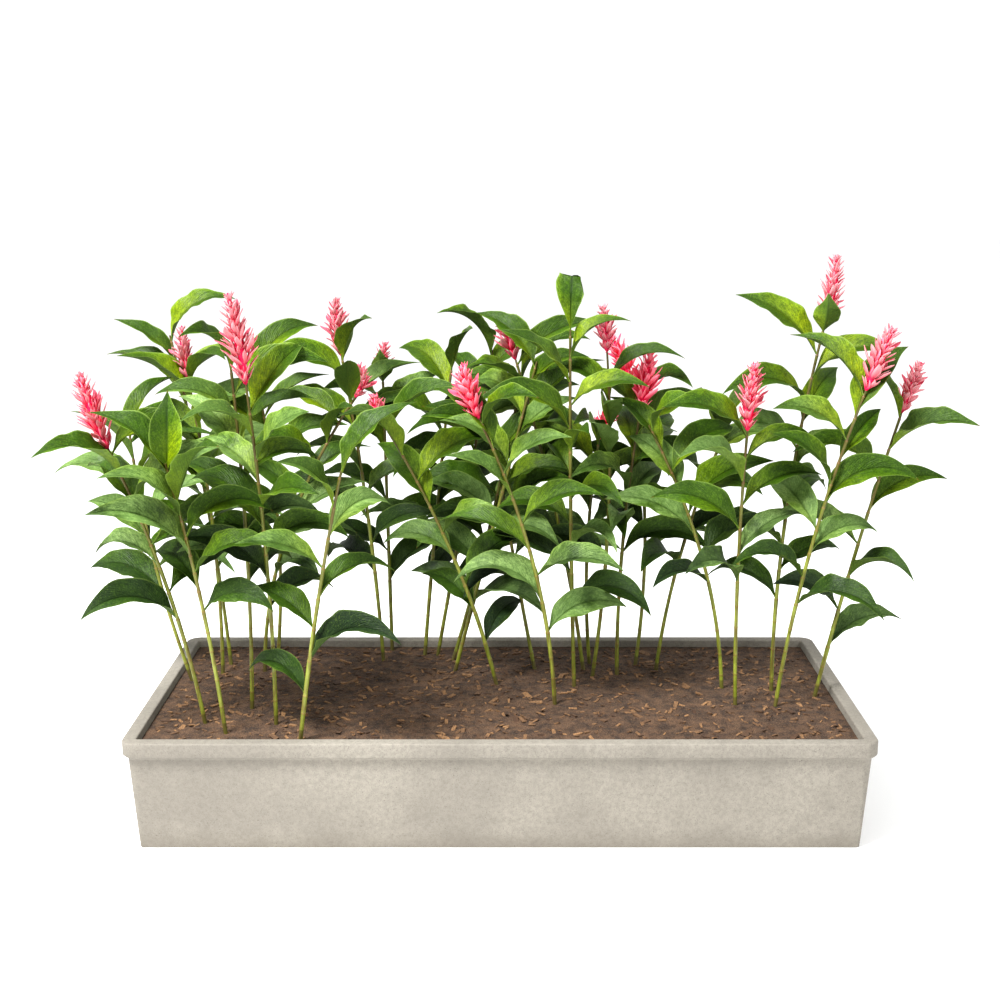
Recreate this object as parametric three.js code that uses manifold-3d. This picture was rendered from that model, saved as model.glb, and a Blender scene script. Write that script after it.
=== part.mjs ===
// Potted pink ginger: a stand of leafy canes, many of them in flower, growing in one long
// planter of soil. Units are millimetres, +Z is up, +X is to the right and the front of the
// stand faces -Y. The origin is the middle of the planter's underside.
import * as THREE from 'three';
import { mergeVertices } from 'three/addons/utils/BufferGeometryUtils.js';
import Module from 'manifold-3d';

const wasm = await Module();
wasm.setup();

// Planter: a plain tapered trough of fibre cement with a thicker band round its rim
const planter = {
  halfLength: 1125,
  halfWidth: 505,
  height: 350,
  taper: 25,
  cornerRadius: 45,
  leastRadius: 8,
  wall: 30,
  floor: 30,
  bandHeight: 55,
  bandDepth: 12,
  edgeRound: 5,
  cornerSteps: 3,
};
const drain = { radius: 14, sides: 8, spacing: 680, row: 230, perRow: 3 };

// Soil: its surface lies a little below the rim and rises gently to the middle
const soil = { belowRim: 22, crown: 10, shoulder: 120, gap: 0.4 };
const soilZ = planter.height - soil.belowRim;

// Canes: what all of them share
const cane = {
  sides: 4,
  rings: 5,
  footRadius: 6.8,
  topRadius: 4.6,
  buried: 90,
  straight: 40,
  holeGap: 0.35,
};

// Leaves: a blade has three cross-sections between its root and its tip. low and high are for
// the lowest and the highest leaf of a cane, sizeArc is the part of a half circle that sizes
// follow up a cane, and angles are in degrees.
const leaf = {
  length: 290,
  leastSize: 0.86,
  sizeArc: [0.2, 0.9],
  slenderness: 0.3,
  stations: [0.2, 0.46, 0.74],
  thickness: [4.6, 2.8, 2.2],
  rootPower: 0.8,
  tipPower: 1.05,
  fold: 15,
  faceFront: 38,
  faceBy: 0.4,
  riseStart: { low: 50, high: 66 },
  riseEnd: { low: -38, high: -6 },
  arch: 1.15,
  crowding: 0.92,
  rootSink: 0.6,
  topGap: 22,
  steps: 12,
};

// How far each leaf may differ from the rule, either way
const sways = { length: 42, azimuth: 52, drift: 22, riseStart: 13, riseEnd: 26, roll: 34, width: 0.08 };

// A young leaf that ends some canes: a spear stands up and shows its upper face to the front,
// and a guard stands up in front of its cane's flower head
const youngLeaves = {
  spear: { azimuth: 90, riseStart: 84, riseEnd: 66, size: 0.8, slenderness: 0.3 },
  guard: { azimuth: -90, riseStart: 30, riseEnd: 100, size: 0.52, slenderness: 0.42 },
};

// Turns and shortenings that a leaf tries, in order, until it lies clear of its neighbours
const turnSteps = [0, 13, -13, 26, -26, 40, -40, 56, -56, 75, -75];
const sizeSteps = [1, 0.86, 0.72, 0.58];
const clear = { margin: 4, thickness: 6, planterGap: 12 };

// Flower heads: a slim core covered with rings of pointed bracts, each ring turned half a bract
// from the one below. Sizes are shares of half the head's width, core lists the core's size at
// shares of the head's length, and slants are in degrees from the middle line. sway is how far
// the reach of each bract may differ from the rule, either way.
const head = {
  gap: 0.3,
  sides: 6,
  ringPitch: 20,
  topRing: 0.88,
  core: [[0, 0.13], [0.12, 0.22], [0.35, 0.27], [0.65, 0.2], [1, 0.02]],
  slant: { low: 46, high: 22 },
  reach: { low: 0.5, high: 0.22 },
  widestAt: 0.3,
  sway: 0.2,
  swayPurpose: 11,
};

// One row for each cane. foot is where it leaves the soil, seen from above, and lean is how far
// its top lies from its foot. bow is how far the middle swings out of the straight line to the
// right. bare is the height of the lowest leaf, side is that leaf's side (1 right, -1 left) and
// turn is how far the two ranks of leaves are turned out of the plane of the front. nod is how
// far a flower head's tip bends to the right of its cane's direction.
const rows = [
  { foot: [-1035, 110], height: 840, lean: [-170, 25], bow: -25, bare: 300, leaves: 8, side: -1, turn: 12 },
  { foot: [-910, -295], height: 885, lean: [-230, -75], bow: 30, bare: 350, leaves: 8, side: -1, turn: 8,
    head: { length: 260, width: 105, nod: 30 } },
  { foot: [-940, 155], height: 1010, lean: [-80, 40], bow: 25, bare: 370, leaves: 9, side: 1, turn: -15,
    head: { length: 185, width: 85, nod: 20 } },
  { foot: [-835, -365], height: 855, lean: [-120, -90], bow: 15, bare: 400, leaves: 9, side: 1, turn: -10,
    young: 'spear' },
  { foot: [-930, 255], height: 1135, lean: [-170, 65], bow: 20, bare: 400, leaves: 10, side: -1, turn: 15 },
  { foot: [-785, -180], height: 1105, lean: [-15, -45], bow: 15, bare: 430, leaves: 10, side: 1, turn: 20 },
  { foot: [-800, 175], height: 945, lean: [325, 45], bow: -80, bare: 340, leaves: 9, side: 1, turn: -12,
    head: { length: 130, width: 85, nod: -70 } },
  { foot: [-690, -305], height: 1075, lean: [-40, -75], bow: 15, bare: 390, leaves: 10, side: 1, turn: 0,
    head: { length: 280, width: 114, nod: -15 } },
  { foot: [-775, 290], height: 1005, lean: [-55, 75], bow: 40, bare: 420, leaves: 9, side: 1, turn: 25 },
  { foot: [-600, -420], height: 850, lean: [155, -110], bow: -10, bare: 150, leaves: 8, side: -1, turn: 5 },
  { foot: [-405, 290], height: 1065, lean: [-130, 75], bow: 15, bare: 320, leaves: 10, side: -1, turn: -20,
    head: { length: 200, width: 100, nod: 20 } },
  { foot: [-385, 425], height: 970, lean: [-25, 105], bow: 0, bare: 250, leaves: 9, side: 1, turn: 15,
    young: 'guard', head: { length: 125, width: 75, nod: 15 } },
  { foot: [-265, 360], height: 1020, lean: [100, 90], bow: -5, bare: 260, leaves: 10, side: -1, turn: -12 },
  { foot: [-220, 360], height: 1070, lean: [195, 90], bow: 0, bare: 270, leaves: 10, side: 1, turn: 20 },
  { foot: [-165, 295], height: 995, lean: [240, 75], bow: 15, bare: 240, leaves: 10, side: -1, turn: 10 },
  { foot: [-155, 175], height: 1065, lean: [275, 10], bow: 0, bare: 260, leaves: 10, side: 1, turn: -18 },
  { foot: [-10, 45], height: 880, lean: [-360, 10], bow: 40, bare: 150, leaves: 9, side: 1, turn: 8,
    head: { length: 112, width: 78, nod: 25 } },
  { foot: [120, 195], height: 795, lean: [-140, 90], bow: -5, bare: 300, leaves: 7, side: -1, turn: 22 },
  { foot: [175, -135], height: 940, lean: [-240, -35], bow: 50, bare: 250, leaves: 9, side: 1, turn: 0,
    head: { length: 185, width: 102, nod: 30 } },
  { foot: [245, 20], height: 1185, lean: [-25, 5], bow: -5, bare: 300, leaves: 12, side: 1, turn: -15,
    young: 'spear' },
  { foot: [285, 190], height: 1065, lean: [-235, 75], bow: 25, bare: 380, leaves: 9, side: 1, turn: 12,
    head: { length: 155, width: 95, nod: -5 } },
  { foot: [310, 250], height: 800, lean: [20, -15], bow: -25, bare: 380, leaves: 6, side: -1, turn: -20,
    head: { length: 140, width: 80, nod: 40 } },
  { foot: [310, 125], height: 1105, lean: [35, 30], bow: 30, bare: 390, leaves: 9, side: -1, turn: 15,
    head: { length: 150, width: 88, nod: -5 } },
  { foot: [395, 140], height: 905, lean: [65, 35], bow: -20, bare: 430, leaves: 8, side: 1, turn: 5,
    head: { length: 210, width: 112, nod: -5 } },
  { foot: [465, 240], height: 960, lean: [-20, 115], bow: 40, bare: 380, leaves: 8, side: 1, turn: -10,
    head: { length: 200, width: 100, nod: -60 } },
  { foot: [530, 180], height: 885, lean: [240, 45], bow: -35, bare: 380, leaves: 8, side: -1, turn: 15 },
  { foot: [730, 10], height: 885, lean: [-260, 0], bow: 55, bare: 370, leaves: 8, side: -1, turn: -8 },
  { foot: [750, -145], height: 905, lean: [0, -35], bow: -10, bare: 420, leaves: 7, side: -1, turn: 5,
    head: { length: 215, width: 102, nod: 5 } },
  { foot: [890, -10], height: 1205, lean: [115, -5], bow: -35, bare: 320, leaves: 12, side: -1, turn: 10,
    young: 'guard', head: { length: 235, width: 100, nod: -20 } },
  { foot: [875, -155], height: 1030, lean: [225, -40], bow: -30, bare: 350, leaves: 10, side: 1, turn: -8,
    head: { length: 210, width: 112, nod: 5 } },
  { foot: [1025, -45], height: 940, lean: [225, -10], bow: -10, bare: 170, leaves: 8, side: 1, turn: 0,
    head: { length: 172, width: 88, nod: 5 } },
];

// Materials
const materials = {
  planter: new THREE.MeshStandardMaterial({ color: 0xb9b4aa, roughness: 0.85, metalness: 0 }),
  soil: new THREE.MeshStandardMaterial({ color: 0x3b2a1e, roughness: 0.98, metalness: 0 }),
  leafy: new THREE.MeshStandardMaterial({ color: 0x4f8a34, roughness: 0.45, metalness: 0 }),
  bract: new THREE.MeshStandardMaterial({ color: 0xe8718a, roughness: 0.5, metalness: 0 }),
};

const degrees = Math.PI / 180;
const finest = 0.001;

// A fixed draw from 0 to 1 for each cane, leaf and purpose
const drawSeeds = [12.9898, 78.233, 37.719];
const drawScale = 43758.5453;

function draw(caneNumber, itemNumber, purpose) {
  const mixed = caneNumber * drawSeeds[0] + itemNumber * drawSeeds[1] + purpose * drawSeeds[2];
  const value = Math.sin(mixed) * drawScale;
  return value - Math.floor(value);
}

function mix(from, to, share) {
  return from + (to - from) * share;
}

function geometryOf(points, faces) {
  const geometry = new THREE.BufferGeometry();
  const places = points.flatMap((point) => [point.x, point.y, point.z]);
  geometry.setAttribute('position', new THREE.Float32BufferAttribute(places, 3));
  geometry.setIndex(faces);
  return geometry;
}

// Closed geometry from rings of equally many points, with a flat cap on both ends
function loft(rings) {
  const count = rings[0].length;
  const faces = [];
  for (let ring = 0; ring + 1 < rings.length; ring += 1) {
    for (let i = 0; i < count; i += 1) {
      const a = ring * count + i;
      const b = ring * count + ((i + 1) % count);
      faces.push(a, b, b + count, a, b + count, a + count);
    }
  }
  const last = (rings.length - 1) * count;
  for (let i = 1; i + 1 < count; i += 1) {
    faces.push(0, i + 1, i, last, last + i, last + i + 1);
  }
  return geometryOf(rings.flat(), faces);
}

// Closed geometry to a solid that can be joined and cut, and back
function solidOf(geometry) {
  const bare = geometry.clone();
  bare.deleteAttribute('normal');
  bare.deleteAttribute('uv');
  const merged = mergeVertices(bare, finest / 10);
  const mesh = new wasm.Mesh({
    numProp: 3,
    vertProperties: new Float32Array(merged.attributes.position.array),
    triVerts: new Uint32Array(merged.index.array),
  });
  return new wasm.Manifold(mesh);
}

function geometryFrom(solid) {
  const mesh = solid.getMesh();
  const geometry = new THREE.BufferGeometry();
  geometry.setAttribute('position', new THREE.BufferAttribute(new Float32Array(mesh.vertProperties), 3));
  geometry.setIndex(new THREE.BufferAttribute(new Uint32Array(mesh.triVerts), 1));
  geometry.computeVertexNormals();
  return geometry;
}

// The same solid with its corners at the nearest thousandth of a millimetre. Corners that joining
// leaves a hair apart become one, and the faces between them are dropped.
function rounded(solid) {
  const mesh = solid.getMesh();
  const places = Array.from(mesh.vertProperties, (value) => Math.round(value / finest) * finest);
  const geometry = new THREE.BufferGeometry();
  geometry.setAttribute('position', new THREE.Float32BufferAttribute(places, 3));
  geometry.setIndex(Array.from(mesh.triVerts));
  const merged = mergeVertices(geometry, finest / 4);
  const corners = merged.index.array;
  const faces = [];
  for (let i = 0; i < corners.length; i += 3) {
    const [a, b, c] = corners.slice(i, i + 3);
    if (a !== b && b !== c && c !== a) {
      faces.push(a, b, c);
    }
  }
  merged.setIndex(faces);
  return solidOf(merged);
}

// The outer skin of a joined solid, without loose scraps or the small hollows that joining seals
function outerSkin(solid) {
  const shells = solid.decompose();
  return shells.reduce((best, shell) => (shell.volume() > best.volume() ? shell : best));
}

function joined(first, others) {
  const whole = others.reduce((body, other) => body.add(other), first);
  return outerSkin(rounded(outerSkin(whole)));
}

// Outline of the trough at one height: a rectangle with round corners, counter-clockwise from above
function troughRing(inset, z) {
  const ring = [];
  const halfX = planter.halfLength - inset;
  const halfY = planter.halfWidth - inset;
  const radius = Math.max(planter.cornerRadius - inset, planter.leastRadius);
  const corners = [[1, 1, 0], [-1, 1, 90], [-1, -1, 180], [1, -1, 270]];
  for (const [sideX, sideY, start] of corners) {
    for (let step = 0; step <= planter.cornerSteps; step += 1) {
      const angle = (start + (90 * step) / planter.cornerSteps) * degrees;
      const x = sideX * (halfX - radius) + radius * Math.cos(angle);
      const y = sideY * (halfY - radius) + radius * Math.sin(angle);
      ring.push(new THREE.Vector3(x, y, z));
    }
  }
  return ring;
}

// How far the trough's outer wall lies inside its widest line, the band, at a height
function wallInset(z) {
  return planter.bandDepth + planter.taper * (1 - z / planter.height);
}

function planterGeometry() {
  const { height, bandHeight, bandDepth, edgeRound, wall, floor } = planter;
  const bandFoot = height - bandHeight;
  const body = loft([
    troughRing(wallInset(0) + edgeRound, 0),
    troughRing(wallInset(edgeRound), edgeRound),
    troughRing(wallInset(bandFoot), bandFoot),
    troughRing(0, bandFoot + bandDepth),
    troughRing(0, height - edgeRound),
    troughRing(edgeRound, height),
    troughRing(bandDepth + wall - edgeRound, height),
    troughRing(bandDepth + wall, height - edgeRound),
    troughRing(wallInset(floor) + wall, floor),
  ]);
  let drained = solidOf(body);
  for (const side of [-1, 1]) {
    for (let i = 0; i < drain.perRow; i += 1) {
      const hole = new THREE.CylinderGeometry(drain.radius, drain.radius, 3 * floor, drain.sides);
      hole.rotateX(90 * degrees);
      hole.translate((i - (drain.perRow - 1) / 2) * drain.spacing, side * drain.row, 0);
      drained = drained.subtract(solidOf(hole));
    }
  }
  return geometryFrom(drained);
}

function soilGeometry() {
  const edge = planter.wall + soil.gap;
  const bottom = planter.floor + soil.gap;
  const top = wallInset(soilZ) + edge;
  let body = solidOf(loft([
    troughRing(wallInset(bottom) + edge, bottom),
    troughRing(top, soilZ),
    troughRing(top + soil.shoulder, soilZ + soil.crown / 2),
    troughRing(top + 2 * soil.shoulder, soilZ + soil.crown),
  ]));
  for (const row of rows) {
    body = body.subtract(solidOf(holeGeometry(row)));
  }
  return geometryFrom(body);
}

// A point of a cane's middle line and its direction there, at a share of its height
function canePoint(row, share) {
  const swing = 4 * row.bow * share * (1 - share);
  const x = row.foot[0] + row.lean[0] * share + swing;
  const y = row.foot[1] + row.lean[1] * share;
  return new THREE.Vector3(x, y, soilZ + row.height * share);
}

function caneDirection(row, share) {
  const slopeX = row.lean[0] + 4 * row.bow * (1 - 2 * share);
  return new THREE.Vector3(slopeX, row.lean[1], row.height).normalize();
}

// Two directions across a middle line
function acrossOf(direction) {
  const first = new THREE.Vector3(0, 1, 0).cross(direction).normalize();
  const second = direction.clone().cross(first);
  return [first, second];
}

function roundAbout(direction, angle) {
  const [first, second] = acrossOf(direction);
  return first.multiplyScalar(Math.cos(angle)).addScaledVector(second, Math.sin(angle));
}

function roundRing(centre, direction, radius, sides) {
  const ring = [];
  for (let i = 0; i < sides; i += 1) {
    const angle = (360 * degrees * (i + 0.5)) / sides;
    ring.push(centre.clone().addScaledVector(roundAbout(direction, angle), radius));
  }
  return ring;
}

// The straight foot of a cane, from under the soil to a little above it
function footRings(row, radius, extraDepth) {
  const share = cane.straight / row.height;
  const upper = canePoint(row, share);
  const direction = caneDirection(row, share);
  const lower = upper.clone().addScaledVector(direction, -(cane.straight + cane.buried + extraDepth));
  return [roundRing(lower, direction, radius, cane.sides), roundRing(upper, direction, radius, cane.sides)];
}

function stemGeometry(row) {
  const rings = footRings(row, cane.footRadius, 0);
  const first = cane.straight / row.height;
  for (let i = 1; i < cane.rings; i += 1) {
    const share = mix(first, 1, i / (cane.rings - 1));
    const radius = mix(cane.footRadius, cane.topRadius, share);
    rings.push(roundRing(canePoint(row, share), caneDirection(row, share), radius, cane.sides));
  }
  return loft(rings);
}

function holeGeometry(row) {
  const radius = cane.footRadius + cane.holeGap / Math.cos(Math.PI / cane.sides);
  return loft(footRings(row, radius, cane.holeGap));
}

// Half width of a blade at a share of its length, as a share of its widest half
function bladeShape(share) {
  const widest = leaf.rootPower / (leaf.rootPower + leaf.tipPower);
  const rise = (share / widest) ** leaf.rootPower;
  const fall = ((1 - share) / (1 - widest)) ** leaf.tipPower;
  return rise * fall;
}

function leafDirection(shape, share) {
  const heading = (shape.azimuth + shape.drift * share) * degrees;
  const rise = mix(shape.riseStart, shape.riseEnd, share ** leaf.arch) * degrees;
  return new THREE.Vector3(
    Math.cos(rise) * Math.cos(heading),
    Math.cos(rise) * Math.sin(heading),
    Math.sin(rise),
  );
}

// A place on a leaf's middle line at a share of its length, with the directions across the
// blade and out of its upper face there. The upper face turns towards the front.
function leafFrame(shape, share) {
  const place = shape.root.clone();
  for (let i = 0; i < leaf.steps; i += 1) {
    const middle = (share * (i + 0.5)) / leaf.steps;
    place.addScaledVector(leafDirection(shape, middle), (shape.length * share) / leaf.steps);
  }
  const heading = (shape.azimuth + shape.drift * share) * degrees;
  const side = new THREE.Vector3(-Math.sin(heading), Math.cos(heading), 0);
  const normal = leafDirection(shape, share).cross(side);
  const facing = leaf.faceFront * Math.cos(heading) * Math.min(1, share / leaf.faceBy);
  const roll = (facing + shape.roll * share) * degrees;
  const across = side.clone().multiplyScalar(Math.cos(roll)).addScaledVector(normal, Math.sin(roll));
  const up = normal.clone().multiplyScalar(Math.cos(roll)).addScaledVector(side, -Math.sin(roll));
  return { place, across, up };
}

// A folded blade. Each section has a left edge, an upper middle, a right edge and a lower middle.
function leafGeometry(shape, extraWidth, extraThickness) {
  const sink = leaf.rootSink * cane.topRadius;
  const points = [shape.root.clone().addScaledVector(leafDirection(shape, 0), -sink)];
  for (const [station, share] of leaf.stations.entries()) {
    const { place, across, up } = leafFrame(shape, share);
    const half = (shape.width / 2) * bladeShape(share) + extraWidth;
    const reach = half * Math.cos(leaf.fold * degrees);
    const lift = half * Math.sin(leaf.fold * degrees);
    const thick = (leaf.thickness[station] + extraThickness) / 2;
    points.push(place.clone().addScaledVector(across, reach).addScaledVector(up, lift));
    points.push(place.clone().addScaledVector(up, thick));
    points.push(place.clone().addScaledVector(across, -reach).addScaledVector(up, lift));
    points.push(place.clone().addScaledVector(up, -thick));
  }
  points.push(leafFrame(shape, 1).place);
  return geometryOf(points, bladeFaces(leaf.stations.length));
}

// Faces of a blade between a root point and a tip point. Both faces are split alike.
function bladeFaces(sections) {
  const faces = [];
  const tip = 1 + 4 * sections;
  for (let i = 0; i < 4; i += 1) {
    const next = (i + 1) % 4;
    faces.push(0, 1 + next, 1 + i);
    faces.push(tip, tip - 4 + i, tip - 4 + next);
  }
  for (let section = 0; section + 1 < sections; section += 1) {
    const a = 1 + 4 * section;
    const b = a + 4;
    for (const edge of [0, 2]) {
      const before = (edge + 3) % 4;
      const after = (edge + 1) % 4;
      faces.push(a + edge, a + after, b + after, a + edge, b + after, b + edge);
      faces.push(a + edge, b + before, a + before, a + edge, b + edge, b + before);
    }
  }
  return faces;
}

// The shape that a leaf would have in open space, from its place on the cane
function freeLeaf(row, caneNumber, index) {
  const level = index / (row.leaves - 1);
  const topShare = 1 - leaf.topGap / row.height;
  const share = mix(row.bare / row.height, topShare, level ** leaf.crowding);
  const onRight = (index % 2 === 0) === (row.side > 0);
  const sway = (name) => {
    const purpose = 1 + Object.keys(sways).indexOf(name);
    return (draw(caneNumber, index, purpose) - 0.5) * 2 * sways[name];
  };
  const size = mix(leaf.leastSize, 1, Math.sin(Math.PI * mix(...leaf.sizeArc, level)));
  const length = leaf.length * size + sway('length');
  const shape = {
    root: canePoint(row, share),
    azimuth: (onRight ? 0 : 180) + row.turn + sway('azimuth'),
    drift: sway('drift'),
    riseStart: mix(leaf.riseStart.low, leaf.riseStart.high, level) + sway('riseStart'),
    riseEnd: mix(leaf.riseEnd.low, leaf.riseEnd.high, level) + sway('riseEnd'),
    roll: sway('roll'),
    length,
    width: length * leaf.slenderness * (1 + sway('width')),
  };
  if (row.young && index === row.leaves - 1) {
    const young = youngLeaves[row.young];
    Object.assign(shape, { azimuth: young.azimuth, riseStart: young.riseStart, riseEnd: young.riseEnd });
    shape.length = leaf.length * young.size;
    shape.width = shape.length * young.slenderness;
  }
  return shape;
}

// Boxes round solids speed up the search for what a new leaf would cross
function boxedSolid(solid) {
  const box = solid.boundingBox();
  return { solid, low: box.min, high: box.max };
}

function boxesMeet(a, b) {
  return [0, 1, 2].every((axis) => a.low[axis] <= b.high[axis] && b.low[axis] <= a.high[axis]);
}

function isClear(shape, obstacles) {
  const wide = boxedSolid(solidOf(leafGeometry(shape, clear.margin, clear.thickness)));
  const near = obstacles.filter((obstacle) => boxesMeet(wide, obstacle));
  return near.every((obstacle) => wide.solid.intersect(obstacle.solid).isEmpty());
}

// The first turn and size that leave a leaf clear, or nothing where it has no room
function placedLeaf(free, obstacles) {
  for (const size of sizeSteps) {
    for (const turn of turnSteps) {
      const shape = { ...free, azimuth: free.azimuth + turn };
      shape.length = free.length * size;
      shape.width = free.width * Math.sqrt(size);
      if (isClear(shape, obstacles)) {
        return shape;
      }
    }
  }
  return null;
}

// A point of a head's middle line and its direction there
function headPoint(row, share) {
  const direction = caneDirection(row, 1);
  const point = canePoint(row, 1).addScaledVector(direction, head.gap + row.head.length * share);
  point.x += row.head.nod * share * share;
  return point;
}

function headDirection(row, share) {
  const direction = caneDirection(row, 1).multiplyScalar(row.head.length);
  direction.x += 2 * row.head.nod * share;
  return direction.normalize();
}

// How far the bracts reach from the middle line, as a share of half the head's width
function bractReach(level) {
  if (level < head.widestAt) {
    return mix(head.reach.low, 1, Math.sin((level / head.widestAt) * 90 * degrees));
  }
  return mix(head.reach.high, 1, (1 - level) / (1 - head.widestAt));
}

// Half the core's thickness at a share of the head's length
function coreRadius(row, share) {
  const above = Math.max(1, head.core.findIndex(([at]) => at >= share));
  const [lowAt, lowSize] = head.core[above - 1];
  const [highAt, highSize] = head.core[above];
  return (row.head.width / 2) * mix(lowSize, highSize, (share - lowAt) / (highAt - lowAt));
}

// Tip of the bract that stands on the core at a level from 0 to 1 and an angle round it
function bractTip(row, level, angle, stretch) {
  const share = head.topRing * level;
  const direction = headDirection(row, share);
  const slant = mix(head.slant.low, head.slant.high, level) * degrees;
  const reach = (row.head.width / 2) * bractReach(level) * stretch;
  const rise = (reach - coreRadius(row, share)) / Math.tan(slant);
  const tip = headPoint(row, share).addScaledVector(roundAbout(direction, angle), reach);
  return tip.addScaledVector(direction, rise);
}

// Every cell between two rings of the core stands out as one four-sided pointed bract
function headGeometry(row, caneNumber) {
  const rings = Math.round((row.head.length * head.topRing) / head.ringPitch);
  const cell = (360 * degrees) / head.sides;
  const points = [];
  for (let ring = 0; ring <= rings; ring += 1) {
    const share = (head.topRing * ring) / rings;
    const direction = headDirection(row, share);
    for (let i = 0; i < head.sides; i += 1) {
      const out = roundAbout(direction, (i + ring / 2) * cell);
      points.push(headPoint(row, share).addScaledVector(out, coreRadius(row, share)));
    }
  }
  const faces = [];
  for (let ring = 0; ring < rings; ring += 1) {
    for (let i = 0; i < head.sides; i += 1) {
      const next = (i + 1) % head.sides;
      const low = ring * head.sides;
      const high = low + head.sides;
      const corners = [low + i, low + next, high + next, high + i];
      const tip = points.length;
      const angle = (i + ring / 2 + 0.75) * cell;
      const stretch = 1 + (draw(caneNumber, low + i, head.swayPurpose) - 0.5) * 2 * head.sway;
      points.push(bractTip(row, (ring + 0.5) / rings, angle, stretch));
      corners.forEach((corner, k) => faces.push(corner, corners[(k + 1) % corners.length], tip));
    }
  }
  const bottom = points.length;
  const last = rings * head.sides;
  points.push(headPoint(row, 0), headPoint(row, 1));
  for (let i = 0; i < head.sides; i += 1) {
    const next = (i + 1) % head.sides;
    faces.push(bottom, next, i, bottom + 1, last + i, last + next);
  }
  return geometryFrom(solidOf(geometryOf(points, faces)));
}

const ginger = new THREE.Group();

function addPiece(name, geometry, material) {
  const mesh = new THREE.Mesh(geometry, material);
  mesh.name = name;
  ginger.add(mesh);
}

function twoDigits(number) {
  return String(number).padStart(2, '0');
}

// The planter with its soil
addPiece('planter', planterGeometry(), materials.planter);
addPiece('soil', soilGeometry(), materials.soil);

// Stems and flower heads stand first, and no leaf may cross them or the planter
const keepOut = new THREE.BoxGeometry(
  2 * (planter.halfLength + clear.planterGap),
  2 * (planter.halfWidth + clear.planterGap),
  planter.height + 2 * clear.planterGap,
);
keepOut.translate(0, 0, planter.height / 2);

const plants = rows.map((row, i) => ({ row, number: i + 1, stem: solidOf(stemGeometry(row)), leaves: [] }));
const stems = plants.map((plant) => boxedSolid(plant.stem));
const fixtures = [boxedSolid(solidOf(keepOut))];
for (const plant of plants.filter((candidate) => candidate.row.head)) {
  const geometry = headGeometry(plant.row, plant.number);
  addPiece(`head_${twoDigits(plant.number)}`, geometry, materials.bract);
  fixtures.push(boxedSolid(solidOf(geometry)));
}

// Leaves grow from the top of every cane downward, the front canes first
const frontFirst = plants.slice().sort((a, b) => a.row.foot[1] - b.row.foot[1]);
const mostLeaves = Math.max(...rows.map((row) => row.leaves));
const grown = [];
for (let below = 0; below < mostLeaves; below += 1) {
  for (const plant of frontFirst.filter((candidate) => candidate.row.leaves > below)) {
    const free = freeLeaf(plant.row, plant.number, plant.row.leaves - 1 - below);
    const otherStems = stems.filter((_, i) => i !== plant.number - 1);
    const shape = placedLeaf(free, [...fixtures, ...otherStems, ...grown]);
    if (shape) {
      const blade = solidOf(leafGeometry(shape, 0, 0));
      plant.leaves.push(blade);
      grown.push(boxedSolid(blade));
    }
  }
}
for (const plant of plants) {
  const whole = joined(plant.stem, plant.leaves);
  addPiece(`cane_${twoDigits(plant.number)}`, geometryFrom(whole), materials.leafy);
}

export default ginger;
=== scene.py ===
"""The looks of a potted pink ginger: leafy canes with pink flower heads in one long planter.

The growth rules below repeat those of the CAD part, in millimetres and degrees. Meshes are made
in metres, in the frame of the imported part.
"""

import math
from types import SimpleNamespace as Sizes

import bpy
import numpy as np
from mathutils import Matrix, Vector, noise


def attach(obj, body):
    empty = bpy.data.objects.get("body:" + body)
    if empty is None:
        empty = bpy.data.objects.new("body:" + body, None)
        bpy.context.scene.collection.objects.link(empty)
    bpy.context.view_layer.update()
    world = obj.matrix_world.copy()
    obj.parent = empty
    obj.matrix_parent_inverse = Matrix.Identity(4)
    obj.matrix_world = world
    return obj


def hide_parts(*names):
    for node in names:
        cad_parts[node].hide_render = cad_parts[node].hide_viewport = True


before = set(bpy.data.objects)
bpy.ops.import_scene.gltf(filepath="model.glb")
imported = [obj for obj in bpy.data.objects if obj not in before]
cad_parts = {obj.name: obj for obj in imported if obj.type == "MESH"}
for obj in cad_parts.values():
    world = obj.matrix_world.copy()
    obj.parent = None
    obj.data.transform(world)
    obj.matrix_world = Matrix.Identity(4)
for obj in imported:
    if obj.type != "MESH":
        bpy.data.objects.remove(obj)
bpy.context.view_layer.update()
scene = bpy.context.scene

MM = 0.001
FULL_TURN = 2 * math.pi

# Camera: the photograph's viewing angle
SENSOR = 36.0
LENS = 52.2
EYE = (0.0, -4.511, 1.998)
LOOK_DOWN = 12.8
FAR = 200

# Floor and light: each lamp has a name, a place, a target, a size and a power
FLOOR_SIZE = 80
FLOOR_LEVELS = (250, 250, 250)
SKY_COLOUR = (0.99, 0.995, 1.0, 1.0)
SKY_STRENGTH = 0.9
LAMPS = (
    ("key", (-2.6, -2.6, 5.2), (0.0, 0.0, 0.9), 2.0, 740),
    ("fill", (3.8, -3.2, 3.4), (0.0, 0.0, 0.8), 3.0, 90),
)

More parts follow.
